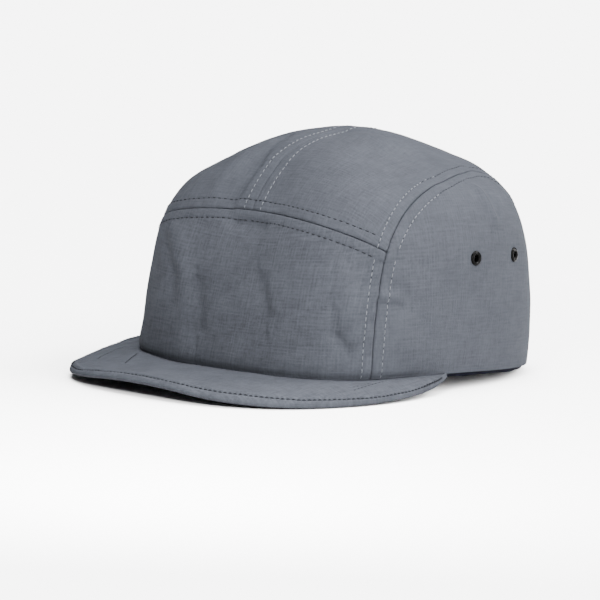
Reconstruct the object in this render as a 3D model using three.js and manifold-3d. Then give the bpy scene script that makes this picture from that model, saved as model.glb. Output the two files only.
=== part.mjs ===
// Five panel cap: a soft unlined crown of five sewn panels, a short flat peak, a sweatband and a back strap.
// Millimetres, +Z up. The peak points to -Y and the wearer's left is +X.
import * as THREE from "three";
import Module from "manifold-3d";

// Hem outline and height of the crown
const HEM_HALF_WIDTH = 82;
const HEM_FRONT = 90.1;
const HEM_REAR = 99.9;
const FRONT_SQUARENESS = 3.7;
const REAR_SQUARENESS = 2.3;
const CROWN_HEIGHT = 116.9;
const HEM_WAVE = { front: -1.4, side: 1.8, rear: -0.2 };
// How the crown rests: tipped back about the rear of its hem, which stays just clear of the ground
const TIP_BACK_DEG = 2.4;
const REAR_HEM_LIFT = 2.2;

// Thicknesses and gaps
const FABRIC = 1.4;
const BAND = 1.2;
const PEAK = 3.3;
const GAP = 0.3;
const PULL_BACK = 0.2;
const SEAM_DIP = 0.45;
const SEAM_DIP_REACH = 2.6;

// Fullness of the crown's profile, by the climb angle from the hem (0) to the top (90)
const FULLNESS = [
  { climb: 0, front: 1.0, side: 1.0, rear: 1.0 },
  { climb: 10, front: 0.99, side: 1.04, rear: 1.01 },
  { climb: 20, front: 0.99, side: 1.1, rear: 1.02 },
  { climb: 30, front: 1.01, side: 1.17, rear: 1.05 },
  { climb: 40, front: 1.02, side: 1.18, rear: 1.09 },
  { climb: 50, front: 1.03, side: 1.09, rear: 1.1 },
  { climb: 60, front: 1.03, side: 1.03, rear: 1.05 },
  { climb: 70, front: 1.01, side: 1.02, rear: 1.01 },
  { climb: 80, front: 0.99, side: 1.01, rear: 1.0 },
  { climb: 90, front: 1.0, side: 1.0, rear: 1.0 },
];

// Side seam, from its foot at the hem to the rear opening: bearing from the front, and share of the
// way out from the top (0) to the hem (1)
const SIDE_SEAM = [
  { bearing: 50.5, out: 1.0 },
  { bearing: 51.2, out: 0.84 },
  { bearing: 52.9, out: 0.716 },
  { bearing: 55.6, out: 0.65 },
  { bearing: 59.8, out: 0.6 },
  { bearing: 66, out: 0.56 },
  { bearing: 75, out: 0.525 },
  { bearing: 88, out: 0.49 },
  { bearing: 107, out: 0.452 },
  { bearing: 124.5, out: 0.444 },
  { bearing: 139, out: 0.52 },
  { bearing: 151, out: 0.66 },
  { bearing: 163, out: 0.856 },
];
// Where the seam across the forehead meets the side seam, and its height on the centre line
const CORNER = { bearing: 53.7, out: 0.688 };
const FOREHEAD_OUT = 0.56;

// Arched opening at the rear: half width as a bearing, and height as a share of the way to the top
const OPENING_HALF_DEG = 21;
const OPENING_RISE = 0.245;
const OPENING_SEAM_DEG = 17;

// Soft folds of the crown: a line on the surface, how wide it is and how far it stands out (mm)
const FOLDS = [
  { from: [-29.4, 0.67], to: [-15.9, 0.83], width: 9, out: -2.0 },
  { from: [-20, 0.66], to: [-8, 0.8], width: 9, out: 0.9 },
  { from: [18.6, 0.8], to: [21.2, 0.97], width: 9, out: 0.9 },
  { from: [30, 0.8], to: [31, 0.96], width: 8, out: -0.8 },
  { from: [38, 0.755], to: [40.3, 0.884], width: 5, out: -1.1 },
  { from: [40.3, 0.884], to: [43.2, 0.915], width: 5, out: -1.0 },
  { from: [2, 0.6], to: [9, 0.6], width: 6, out: -1.0 },
  { from: [-9, 0.54], to: [-10.5, 0.39], width: 5, out: 1.1 },
  { from: [-10.5, 0.39], to: [-3.3, 0.31], width: 5, out: 0.9 },
  { from: [119, 0.29], to: [129.7, 0.4], width: 7, out: -0.9 },
  { from: [104.5, 0.53], to: [105.5, 0.62], width: 6, out: 0.8 },
  { from: [-118, 0.3], to: [-128, 0.42], width: 8, out: -0.9 },
];
const FRONT_ROLL = { out: 0.955, spread: 0.028, stand: 1.1 };

// Peak: half width, reach, where its outline is widest, and its shape
const PEAK_HALF_WIDTH = 94;
const PEAK_LENGTH = 120.3;
const PEAK_WIDEST_Y = -24.9;
const PEAK_SQUARENESS = 2.73;
const PEAK_END_DEG = 78;
// The cloth on top of the peak reaches this much further round the hem than the cloth below
const PEAK_END_SLANT_DEG = 3.4;
// Its ends are this share of its reach there, and round off this sharply
const PEAK_END_SHARE = 0.14;
const PEAK_END_SHARPNESS = 18;
const PEAK_CAMBER = 0.6;
const PEAK_BEND = 1.6;
const PEAK_EDGE = 2.1;
// Height of the lower edge of the peak above the ground, by the turn from the front (0) to its ends
const PEAK_EDGE_HEIGHT = [
  { turn: -90, height: 12.5 },
  { turn: -67.5, height: 3.7 },
  { turn: -45, height: 1.9 },
  { turn: -22.5, height: 3.2 },
  { turn: 0, height: 5.9 },
  { turn: 22.5, height: 2.3 },
  { turn: 45, height: 0.2 },
  { turn: 67.5, height: 0 },
  { turn: 90, height: 1.4 },
];

const BAND_SHOWS = 2.0;
const BAND_HEIGHT = 28;
const BAND_EASE = 0.45;
const BAND_END_DEG = 24;
const STRAP_HEIGHT = 20;
const BUCKLE_HALF_DEG = 8;
const BUCKLE_WALL = 1.8;
const EYELETS = [
  { place: "front", bearing: 90.4, out: 0.718 },
  { place: "rear", bearing: 113.7, out: 0.71 },
];
const CHORD_SAG = 0.1;
const EYELET_HOLE = 1.75;
const EYELET_BARREL = 2.5;
const EYELET_RIM = 3.65;

const COLOUR = { shell: 0x6f737d, peak: 0x6b6f79, band: 0x232430, eyelet: 0x141416, strap: 0x5b5f69, buckle: 0x1b1b1d };

const rad = (deg) => (deg * Math.PI) / 180;

// A smooth curve through evenly spaced values, for a place from 0 to 1 along it
function through(values, place, first, last) {
  const v = [first ?? 2 * values[0] - values[1], ...values, last ?? 2 * values.at(-1) - values.at(-2)];
  const g = Math.min(Math.max(place, 0), 1) * (values.length - 1);
  const i = Math.min(Math.floor(g), values.length - 2);
  const f = g - i;
  const m1 = (v[i + 2] - v[i]) / 2;
  const m2 = (v[i + 3] - v[i + 1]) / 2;
  const a = 2 * f ** 3 - 3 * f ** 2 + 1;
  const b = f ** 3 - 2 * f ** 2 + f;
  return a * v[i + 1] + b * m1 + (1 - a) * v[i + 2] + (f ** 3 - f ** 2) * m2;
}

function blend(bearing, front, side, rear) {
  const c = Math.cos(bearing);
  return side + ((c > 0 ? front : rear) - side) * c * c;
}

function hemRadius(bearing) {
  const c = Math.cos(bearing);
  const reach = c > 0 ? HEM_FRONT : HEM_REAR;
  const n = c > 0 ? FRONT_SQUARENESS : REAR_SQUARENESS;
  return (Math.abs(Math.sin(bearing) / HEM_HALF_WIDTH) ** n + Math.abs(c / reach) ** n) ** (-1 / n);
}

const columns = { front: [], side: [], rear: [] };
for (const row of FULLNESS) {
  for (const key in columns) columns[key].push(row[key]);
}

// The smooth crown, without folds
function crown(bearing, out) {
  const share = 1 - out;
  const climb = (share * Math.PI) / 2;
  const full = (key) => through(columns[key], share, undefined, columns[key].at(-2));
  const s = blend(bearing, full("front"), full("side"), full("rear"));
  const wide = Math.cos(climb) * s;
  const high = Math.sin(climb) * s;
  const r = hemRadius(bearing) * wide;
  const x = r * Math.sin(bearing);
  const y = -r * Math.cos(bearing) - HEM_REAR;
  const z = blend(bearing, HEM_WAVE.front, HEM_WAVE.side, HEM_WAVE.rear) * (1 - high) + CROWN_HEIGHT * high;
  const k = rad(TIP_BACK_DEG);
  return new THREE.Vector3(
    x,
    HEM_REAR + y * Math.cos(k) + z * Math.sin(k),
    -y * Math.sin(k) + z * Math.cos(k) + REAR_HEM_LIFT,
  );
}

// Flat map of the crown: the top is the origin, the hem the unit circle
const mapPoint = (bearingDeg, out) => [out * Math.sin(rad(bearingDeg)), -out * Math.cos(rad(bearingDeg))];
const onMap = (p, q) => crown(Math.atan2(p, -q), Math.hypot(p, q));

const foldLines = FOLDS.map((f) => ({
  line: new THREE.Line3(onMap(...mapPoint(...f.from)), onMap(...mapPoint(...f.to))),
  width: f.width,
  out: f.out,
}));

function normalAt(p, q) {
  const e = 0.004;
  const a = onMap(p + e, q).sub(onMap(p - e, q));
  const b = onMap(p, q + e).sub(onMap(p, q - e));
  return a.cross(b).normalize();
}

// How far the cloth stands out from the smooth crown at a place
function standOut(p, q, base) {
  const near = new THREE.Vector3();
  let sum = 0;
  for (const f of foldLines) {
    f.line.closestPointToPoint(base, true, near);
    sum += f.out * Math.exp(-((near.distanceTo(base) / f.width) ** 2));
  }
  const bearing = Math.abs((Math.atan2(p, -q) * 180) / Math.PI);
  if (bearing < 60) {
    const away = (Math.hypot(p, q) - FRONT_ROLL.out) / FRONT_ROLL.spread;
    sum += FRONT_ROLL.stand * Math.exp(-away * away) * Math.min(1, (60 - bearing) / 12);
  }
  return sum;
}

// A closed solid from two matching grids of points: its outer face and its inner face
function slab(name, outer, inner, colour) {
  const rows = outer.length;
  const cols = outer[0].length;
  const position = [];
  for (const grid of [outer, inner]) {
    for (const row of grid) {
      for (const v of row) position.push(v.x, v.y, v.z);
    }
  }
  const at = (side, j, i) => side * rows * cols + j * cols + i;
  const index = [];
  const quad = (a, b, c, d) => index.push(a, b, c, a, c, d);
  for (let j = 0; j < rows - 1; j++) {
    for (let i = 0; i < cols - 1; i++) {
      quad(at(0, j, i), at(0, j, i + 1), at(0, j + 1, i + 1), at(0, j + 1, i));
      quad(at(1, j, i), at(1, j + 1, i), at(1, j + 1, i + 1), at(1, j, i + 1));
    }
  }
  for (let i = 0; i < cols - 1; i++) {
    quad(at(0, 0, i), at(1, 0, i), at(1, 0, i + 1), at(0, 0, i + 1));
    quad(at(0, rows - 1, i + 1), at(1, rows - 1, i + 1), at(1, rows - 1, i), at(0, rows - 1, i));
  }
  for (let j = 0; j < rows - 1; j++) {
    quad(at(0, j + 1, 0), at(1, j + 1, 0), at(1, j, 0), at(0, j, 0));
    quad(at(0, j, cols - 1), at(1, j, cols - 1), at(1, j + 1, cols - 1), at(0, j + 1, cols - 1));
  }
  return solid(name, position, index, colour);
}

function solid(name, position, index, colour) {
  const g = new THREE.BufferGeometry();
  g.setAttribute("position", new THREE.Float32BufferAttribute(position, 3));
  g.setIndex(index);
  g.computeVertexNormals();
  const mesh = new THREE.Mesh(g, new THREE.MeshStandardMaterial({ color: colour, roughness: 0.85 }));
  mesh.name = name;
  return mesh;
}

// Seams on the flat map, each as a function of the place from 0 to 1 along it
function smoothLine(points) {
  const line = new THREE.CatmullRomCurve3(points.map(([p, q]) => new THREE.Vector3(p, q, 0)), false, "centripetal");
  line.arcLengthDivisions = 400;
  return line;
}
const cornerRow = SIDE_SEAM.findIndex((row) => row.out < CORNER.out);
const seamPoints = SIDE_SEAM.map((row) => mapPoint(row.bearing, row.out));
const lowerSeam = smoothLine([...seamPoints.slice(0, cornerRow), mapPoint(CORNER.bearing, CORNER.out)]);
const upperSeam = smoothLine([mapPoint(CORNER.bearing, CORNER.out), ...seamPoints.slice(cornerRow)]);
const along = (line, place) => line.getPointAt(Math.min(Math.max(place, 0), 1)).toArray().slice(0, 2);
const flip = ([p, q]) => [-p, q];

function foreheadSeam(place) {
  const bearing = CORNER.bearing * (2 * place - 1);
  const bend = Math.abs(bearing / CORNER.bearing) ** 2.1;
  return mapPoint(bearing, FOREHEAD_OUT + (CORNER.out - FOREHEAD_OUT) * bend);
}

function openingEdge(offDeg) {
  const rise = OPENING_RISE * Math.sqrt(Math.max(0, 1 - (offDeg / OPENING_HALF_DEG) ** 2));
  return mapPoint(180 - offDeg, 1 - rise);
}

const centreSeam = (place) => [0, -FOREHEAD_OUT + place * (FOREHEAD_OUT + 1 - OPENING_RISE)];
const seamEnd = openingEdge(OPENING_SEAM_DEG);
const seamLast = upperSeam.points.length - 1;
upperSeam.points[seamLast].set(seamEnd[0], seamEnd[1], 0);

// Places along one grid line: pulled back from both ends, with a row close to each end
function places(length, count) {
  const first = PULL_BACK / length;
  const dip = SEAM_DIP_REACH / length;
  const list = [first];
  for (let i = 0; i <= count; i++) list.push(dip + ((1 - 2 * dip) * i) / count);
  list.push(1 - first);
  return list;
}

// A panel from its four borders on the flat map: "low" and "high" run across, "start" and "end" run up
function panel(name, low, high, start, end, across, up, dips) {
  const inside = (s, t) => {
    const [l, h, a, b] = [low(s), high(s), start(t), end(t)];
    const [c00, c10, c01, c11] = [low(0), low(1), high(0), high(1)];
    return [0, 1].map((k) => {
      const edges = (1 - t) * l[k] + t * h[k] + (1 - s) * a[k] + s * b[k];
      const corners = (1 - s) * (1 - t) * c00[k] + s * (1 - t) * c10[k] + (1 - s) * t * c01[k] + s * t * c11[k];
      return edges - corners;
    });
  };
  const length = (f) => {
    let sum = 0;
    for (let i = 0; i < 24; i++) sum += onMap(...f(i / 24)).distanceTo(onMap(...f((i + 1) / 24)));
    return sum;
  };
  const outer = [];
  const inner = [];
  const rows = up + 3;
  const cols = across + 3;
  for (let j = 0; j < rows; j++) {
    outer.push([]);
    inner.push([]);
    for (let i = 0; i < cols; i++) {
      let s = i / (cols - 1);
      let t = j / (rows - 1);
      for (let pass = 0; pass < 2; pass++) {
        s = places(length((v) => inside(v, t)), across)[i];
        t = places(length((v) => inside(s, v)), up)[j];
      }
      const [p, q] = inside(s, t);
      const base = onMap(p, q);
      const normal = normalAt(p, q);
      const border = [
        dips.low && j === 0,
        dips.high && j === rows - 1,
        dips.start && i === 0,
        dips.end && i === cols - 1,
      ].some(Boolean);
      const stand = standOut(p, q, base) - (border ? SEAM_DIP : 0);
      outer.at(-1).push(base.clone().addScaledVector(normal, stand));
      inner.at(-1).push(base.clone().addScaledVector(normal, stand - FABRIC + (border ? 0.15 : 0)));
    }
  }
  return slab(name, outer, inner, COLOUR.shell);
}

const lerp = THREE.MathUtils.lerp;
const hem = (from, to) => (s) => mapPoint(lerp(from, to, s), 1);
const foot = SIDE_SEAM[0].bearing;
const openingSide = (t) => openingEdge(lerp(OPENING_HALF_DEG, OPENING_SEAM_DEG, t));
const openingTop = (t) => openingEdge(lerp(OPENING_SEAM_DEG, 0, t));

const frontPanel = panel(
  "front_panel",
  hem(-foot, foot),
  foreheadSeam,
  (t) => flip(along(lowerSeam, t)),
  (t) => along(lowerSeam, t),
  22,
  11,
  { high: true, start: true, end: true },
);

// The left side is drawn first; the right side swaps the ends of each panel to keep its faces outward
function topPanel(name, side) {
  const turn = side > 0 ? (v) => v : flip;
  const centre = (s) => turn(centreSeam(s));
  const outside = (s) => turn(along(upperSeam, s));
  const front = (t) => turn(foreheadSeam(0.5 + 0.5 * t));
  const rear = (t) => turn(openingTop(1 - t));
  const dips = { low: true, high: true, start: true };
  if (side > 0) return panel(name, outside, centre, (t) => front(1 - t), (t) => rear(1 - t), 20, 11, dips);
  return panel(name, centre, outside, front, rear, 20, 11, dips);
}

function sidePanel(name, side) {
  const turn = side > 0 ? (v) => v : flip;
  const below = hem(foot, 180 - OPENING_HALF_DEG);
  const seam = (s) => along(upperSeam, s);
  const front = (t) => along(lowerSeam, t);
  const all = [below, seam, front, openingSide].map((f) => (v) => turn(f(v)));
  const back = ([a, b, c, d]) => [(s) => a(1 - s), (s) => b(1 - s), d, c];
  const [low, high, start, end] = side > 0 ? all : back(all);
  const dips = side > 0 ? { high: true, start: true } : { high: true, end: true };
  return panel(name, low, high, start, end, 20, 11, dips);
}

const panels = [
  frontPanel,
  topPanel("top_panel_left", 1),
  topPanel("top_panel_right", -1),
  sidePanel("side_panel_left", 1),
  sidePanel("side_panel_right", -1),
];

// A place on the hem, moved inwards by a distance and up by a height
function hemAt(bearing, inwards, up) {
  const [p, q] = mapPoint((bearing * 180) / Math.PI, 1);
  const normal = normalAt(p, q).setZ(0).normalize();
  return onMap(p, q).addScaledVector(normal, -inwards).add(new THREE.Vector3(0, 0, up));
}

// Peak
function peakEdge(turn) {
  const power = 2 / PEAK_SQUARENESS;
  const x = PEAK_HALF_WIDTH * Math.sign(turn) * Math.abs(Math.sin(turn)) ** power;
  const y = PEAK_WIDEST_Y - PEAK_LENGTH * Math.abs(Math.cos(turn)) ** power;
  const heights = PEAK_EDGE_HEIGHT.map((row) => row.height);
  return new THREE.Vector3(x, y, through(heights, 0.5 + turn / Math.PI));
}

function peakSurface(u, v, endDeg) {
  const further = Math.sign(u) * Math.abs(u) ** PEAK_END_SHARPNESS;
  const bearing = rad(PEAK_END_DEG) * u + rad(endDeg - PEAK_END_DEG) * further;
  const joint = hemAt(bearing, FABRIC, -0.1 - PEAK);
  const corner = Math.max(PEAK_END_SHARE, Math.sqrt(1 - Math.abs(u) ** PEAK_END_SHARPNESS));
  const reach = v * corner;
  const edge = peakEdge((u * Math.PI) / 2);
  const low = joint.clone().lerp(edge, reach);
  low.z = lerp(joint.z, edge.z, reach ** PEAK_BEND);
  low.z += PEAK_CAMBER * 4 * v * (1 - v) * corner;
  return low;
}

function peak() {
  const across = 42;
  const steps = [0, 0.2, 0.42, 0.64, 0.84, 0.95, 1];
  const outer = [];
  const inner = [];
  for (const v of steps) {
    outer.push([]);
    inner.push([]);
    for (let i = 0; i <= across; i++) {
      const u = (2 * i) / across - 1;
      const low = peakSurface(u, v, PEAK_END_DEG);
      const high = peakSurface(u, v, PEAK_END_DEG + PEAK_END_SLANT_DEG);
      const thick = v < 0.9 ? PEAK : lerp(PEAK, PEAK_EDGE, (v - 0.84) / 0.16);
      const lip = v < 0.9 ? 0 : (PEAK - thick) / 2;
      inner.at(-1).push(low.clone().add(new THREE.Vector3(0, 0, lip * 0.6)));
      outer.at(-1).push(high.add(new THREE.Vector3(0, 0, lip * 0.6 + thick)));
    }
  }
  outer.reverse();
  inner.reverse();
  return slab("peak", outer, inner, COLOUR.peak);
}

// Sweatband and strap: upright bands that follow the hem just inside the panels
function band(name, fromDeg, toDeg, segments, inwards, thick, bottom, heights, colour) {
  const outer = [];
  const inner = [];
  for (const h of heights) {
    outer.push([]);
    inner.push([]);
    for (let i = 0; i <= segments; i++) {
      const bearing = rad(lerp(fromDeg, toDeg, i / segments));
      const lean = inwards + bandLean(bearing, h);
      outer.at(-1).push(hemAt(bearing, lean, bottom + h));
      inner.at(-1).push(hemAt(bearing, lean + thick, bottom + h));
    }
  }
  return slab(name, outer, inner, colour);
}

// How far the crown's wall has come inwards of its hem at a height above the hem
function bandLean(bearing, h) {
  let out = 1;
  const foot0 = crown(bearing, 1);
  while (out > 0.6 && crown(bearing, out).z < foot0.z + h - BAND_SHOWS) out -= 0.002;
  const wall = crown(bearing, out);
  const [p, q] = mapPoint((bearing * 180) / Math.PI, 1);
  const normal = normalAt(p, q).setZ(0).normalize();
  const dent = standOut(out * Math.sin(bearing), -out * Math.cos(bearing), wall);
  return Math.max(0, foot0.sub(wall).dot(normal)) + Math.max(0, -dent) + BAND_EASE;
}

const inside = FABRIC + GAP;
const bandEnd = 180 - BAND_END_DEG;
const sweatband = band(
  "sweatband",
  -bandEnd,
  bandEnd,
  56,
  inside,
  BAND,
  -BAND_SHOWS,
  [0, 0.25, 0.5, 0.75, 1].map((share) => share * BAND_HEIGHT),
  COLOUR.band,
);
const strapSide = (GAP / HEM_REAR / Math.PI) * 180;
const strap = band(
  "back_strap",
  bandEnd + strapSide,
  360 - bandEnd - strapSide,
  16,
  inside,
  BAND,
  -BAND_SHOWS + 1,
  [0, STRAP_HEIGHT / 2, STRAP_HEIGHT],
  COLOUR.strap,
);

// Slider buckle: a loop round the strap that follows its curve
function buckle() {
  const stations = 6;
  const ring = [];
  const low = -BAND_SHOWS + 1;
  for (let i = 0; i <= stations; i++) {
    const bearing = rad(180 + lerp(-BUCKLE_HALF_DEG, BUCKLE_HALF_DEG, i / stations));
    const at = (d, h) => hemAt(bearing, d + bandLean(bearing, h - low), h);
    const o = inside - GAP;
    const n = inside + BAND + GAP;
    const b = low - GAP;
    const t = low + STRAP_HEIGHT + GAP;
    const w = BUCKLE_WALL;
    const ground = Math.max(b - w, b - 0.6);
    ring.push([
      at(o - w, ground), at(n + w, ground), at(n + w, t + w), at(o - w, t + w),
      at(o, b), at(n, b), at(n, t), at(o, t),
    ]);
  }
  const position = ring.flat().flatMap((v) => [v.x, v.y, v.z]);
  const index = [];
  const quad = (a, b, c, d) => index.push(a, c, b, a, d, c);
  for (let i = 0; i < stations; i++) {
    for (let k = 0; k < 4; k++) {
      const a = 8 * i + k;
      const b = 8 * i + ((k + 1) % 4);
      quad(a, a + 8, b + 8, b);
      quad(a + 4, b + 4, b + 12, a + 12);
    }
  }
  for (let k = 0; k < 4; k++) {
    const m = (k + 1) % 4;
    const last = 8 * stations;
    quad(k, m, m + 4, k + 4);
    quad(last + k, last + k + 4, last + m + 4, last + m);
  }
  return solid("strap_buckle", position, index, COLOUR.buckle);
}

// Eyelets: one rolled ring a hole, its rims just clear of the cloth
const eyeletProfile = [
  [EYELET_HOLE, 0.75],
  [EYELET_HOLE + 0.45, 1.15],
  [EYELET_RIM - 0.45, 1.1],
  [EYELET_RIM, 0.65],
  [EYELET_RIM - 0.15, GAP],
  [EYELET_BARREL, GAP],
  [EYELET_BARREL, -FABRIC - GAP],
  [EYELET_RIM - 0.4, -FABRIC - GAP],
  [EYELET_RIM - 0.5, -FABRIC - GAP - 0.6],
  [EYELET_HOLE + 0.2, -FABRIC - GAP - 0.6],
  [EYELET_HOLE, -FABRIC - GAP - 0.3],
];

function eyelet(name, place) {
  const turns = 14;
  const position = [];
  for (let i = 0; i < turns; i++) {
    const a = (2 * Math.PI * i) / turns;
    for (const [r, h] of eyeletProfile) {
      const v = place.origin.clone();
      v.addScaledVector(place.east, r * Math.cos(a)).addScaledVector(place.north, r * Math.sin(a));
      v.addScaledVector(place.normal, h);
      position.push(v.x, v.y, v.z);
    }
  }
  const n = eyeletProfile.length;
  const index = [];
  for (let i = 0; i < turns; i++) {
    for (let k = 0; k < n; k++) {
      const [a, b] = [i * n + k, i * n + ((k + 1) % n)];
      const [c, d] = [((i + 1) % turns) * n + k, ((i + 1) % turns) * n + ((k + 1) % n)];
      index.push(a, b, d, a, d, c);
    }
  }
  return solid(name, position, index, COLOUR.eyelet);
}

function eyeletPlace(side, row) {
  const [p, q] = mapPoint(side * row.bearing, row.out);
  const base = onMap(p, q);
  const normal = normalAt(p, q);
  const origin = base.addScaledVector(normal, standOut(p, q, base) - CHORD_SAG);
  const east = new THREE.Vector3(0, 0, 1).cross(normal).normalize();
  return { origin, normal, east, north: normal.clone().cross(east) };
}

const wasm = await Module();
wasm.setup();

function toManifold(mesh) {
  const g = mesh.geometry;
  const vertProperties = new Float32Array(g.getAttribute("position").array);
  const triVerts = new Uint32Array(g.index.array);
  return new wasm.Manifold(new wasm.Mesh({ numProp: 3, vertProperties, triVerts }));
}

// The side panel with its two eyelet holes punched
function punch(mesh, holes) {
  let body = toManifold(mesh);
  for (const h of holes) {
    const m = new THREE.Matrix4().makeBasis(h.east, h.north, h.normal).setPosition(h.origin);
    const tool = wasm.Manifold.cylinder(12, EYELET_BARREL + GAP, EYELET_BARREL + GAP, 16, true);
    body = body.subtract(tool.transform([...m.elements]));
  }
  const out = body.getMesh();
  const position = [];
  for (let i = 0; i < out.numVert; i++) {
    for (let k = 0; k < 3; k++) position.push(out.vertProperties[i * out.numProp + k]);
  }
  return solid(mesh.name, position, [...out.triVerts], COLOUR.shell);
}

const group = new THREE.Group();
group.name = "five_panel_cap";
const loose = [];
for (const [word, side] of [["left", 1], ["right", -1]]) {
  const holes = EYELETS.map((row) => eyeletPlace(side, row));
  const k = panels.findIndex((m) => m.name === "side_panel_" + word);
  panels[k] = punch(panels[k], holes);
  EYELETS.forEach((row, i) => loose.push(eyelet("eyelet_" + word + "_" + row.place, holes[i])));
}
group.add(...panels, peak(), sweatband, ...loose, strap, buckle());

// The origin is below the middle of the cap, on the ground
const box = new THREE.Box3().setFromObject(group, true);
group.position.set(0, -(box.min.y + box.max.y) / 2, -box.min.z);
group.updateMatrixWorld(true);

export default group;
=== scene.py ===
import math

import bpy
import numpy as np
from mathutils import Matrix, Vector


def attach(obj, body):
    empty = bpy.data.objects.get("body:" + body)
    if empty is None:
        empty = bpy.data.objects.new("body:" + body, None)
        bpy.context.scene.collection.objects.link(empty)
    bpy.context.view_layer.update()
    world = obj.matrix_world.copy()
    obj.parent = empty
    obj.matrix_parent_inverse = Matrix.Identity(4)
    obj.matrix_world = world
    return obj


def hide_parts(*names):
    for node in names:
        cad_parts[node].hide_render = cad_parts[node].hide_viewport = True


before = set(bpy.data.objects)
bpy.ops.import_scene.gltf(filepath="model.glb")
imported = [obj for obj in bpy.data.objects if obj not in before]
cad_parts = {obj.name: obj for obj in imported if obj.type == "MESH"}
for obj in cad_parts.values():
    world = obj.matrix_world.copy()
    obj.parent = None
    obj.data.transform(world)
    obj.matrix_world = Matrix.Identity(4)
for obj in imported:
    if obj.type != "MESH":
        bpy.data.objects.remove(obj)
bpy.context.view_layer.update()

# Crown, in millimetres: the same outline as the solids
HEM_HALF_WIDTH, HEM_FRONT, HEM_REAR = 82.0, 90.1, 99.9
FRONT_SQUARENESS, REAR_SQUARENESS = 3.7, 2.3
CROWN_HEIGHT = 116.9
HEM_WAVE = {"front": -1.4, "side": 1.8, "rear": -0.2}
TIP_BACK = math.radians(2.4)
REAR_HEM_LIFT = 2.2
ORIGIN_SHIFT = np.array([0.0, 22.679, -0.1])
FABRIC, BAND, PEAK, GAP = 1.4, 1.2, 3.3, 0.3
# How full the crown is, in even steps from the hem to the top
FULLNESS = {
    "front": [1.0, 0.99, 0.99, 1.01, 1.02, 1.03, 1.03, 1.01, 0.99, 1.0],
    "side": [1.0, 1.04, 1.1, 1.17, 1.18, 1.09, 1.03, 1.02, 1.01, 1.0],
    "rear": [1.0, 1.01, 1.02, 1.05, 1.09, 1.1, 1.05, 1.01, 1.0, 1.0],
}

# Seams, as places on the crown: bearing from the front in degrees, and out from the top (0) to the hem (1)
SIDE_SEAM = [(50.5, 1.0), (51.2, 0.84), (52.9, 0.716), (55.6, 0.65), (59.8, 0.6), (66, 0.56)]
SIDE_SEAM += [(75, 0.525), (88, 0.49), (107, 0.452), (124.5, 0.444), (139, 0.52), (151, 0.66)]
HEM_SEAM_DEG = SIDE_SEAM[0][0]
CORNER = {"bearing": 53.7, "out": 0.688}
FOREHEAD_OUT, FOREHEAD_DROOP = 0.56, 2.1
OPENING_HALF_DEG, OPENING_RISE, OPENING_SEAM_DEG = 21.0, 0.245, 17.0

# Folds: a line down the crown from (bearing, out) to (bearing, out), its width to the wearer's right and left
# of the line, and how far it stands out
FOLDS = [
    ((-28, 0.69), (-19.5, 0.775), (13, 8), 1.6),
    ((-19.5, 0.775), (-17, 0.86), (13, 8), 1.2),
    ((-33.5, 0.69), (-24.5, 0.775), (5, 3.5), -1.2),
    ((-24.5, 0.775), (-22, 0.85), (5, 4), -0.8),
    ((13.5, 0.76), (17.5, 0.85), (9, 4), -1.7),
    ((-14, 0.79), (-10.5, 0.9), (10, 4.5), -1.8),
    ((42.6, 0.75), (45, 0.87), (8, 6), 2.0),
    ((-6, 0.602), (8, 0.608), (4, 4), -1.9),
    ((56.5, 0.762), (68.5, 0.868), (7, 5), -0.5),
    ((60, 0.75), (73, 0.86), (7, 7), 0.3),
    ((100.5, 0.54), (102.8, 0.627), (4, 4), 1.3),
    ((-8.3, 0.38), (-8.6, 0.53), (3, 6), 0.9),
    ((-30, 0.225), (-12.5, 0.41), (8, 2.6), -1.3),
    ((-12.5, 0.41), (-10.5, 0.53), (8, 2.6), -1.3),
    ((-45, 0.4), (-38, 0.54), (5, 3), -0.6),
    ((-32, 0.38), (-24, 0.53), (3, 6), 0.6),
    ((30, 0.1), (106, 0.3), (3, 3), -0.5),
    ((45, 0.16), (104, 0.34), (3.5, 3.5), 0.4),
    ((60, 0.25), (98, 0.38), (3.5, 3.5), -0.4),
    ((119, 0.29), (129.7, 0.4), (7, 7), -0.9),
    ((-118, 0.3), (-128, 0.42), (8, 8), -0.9),
]
# Finer creases of the cloth, in the same columns
CREASES = [
    ((39.4, 0.82), (40.8, 0.885), (4, 1.6), -1.0),
    ((40.8, 0.885), (43.2, 0.913), (3, 1.5), -1.2),
    ((52, 0.803), (59.5, 0.818), (1.8, 1.8), -0.9),
    ((52, 0.788), (58, 0.798), (2.6, 2.6), 0.7),
    ((100.8, 0.545), (102.8, 0.622), (1.5, 1.5), 0.6),
]
# Along the front of the hem: a soft roll, and a tuck where it meets the peak
FRONT_ROLL = {"out": 0.985, "spread": 0.05, "stand": 1.4, "half_deg": 60, "fade_deg": 12}
FRONT_TUCK = {"spread": 0.01, "deep": 0.9, "half_deg": 76, "fade_deg": 14}
# Unevenness of all the cloth, in lumps of several sizes; the soft ones are stronger low on the front panel
LUMPS = [
    {"height": 0.34, "size": 34.0, "upright": 1, "soft": False, "seed": 3},
    {"height": 0.2, "size": 15.0, "upright": 0.6, "soft": True, "seed": 5},
    {"height": 0.08, "size": 6.5, "upright": 0.7, "soft": True, "seed": 8},
    {"height": 0.035, "size": 2.8, "upright": 1, "soft": False, "seed": 9},
]
FRONT_SOFT = {"extra": 0.9, "half_deg": 48, "fade_deg": 8, "starts": (0.6, 0.7), "ends": (0.9, 0.96)}

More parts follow.
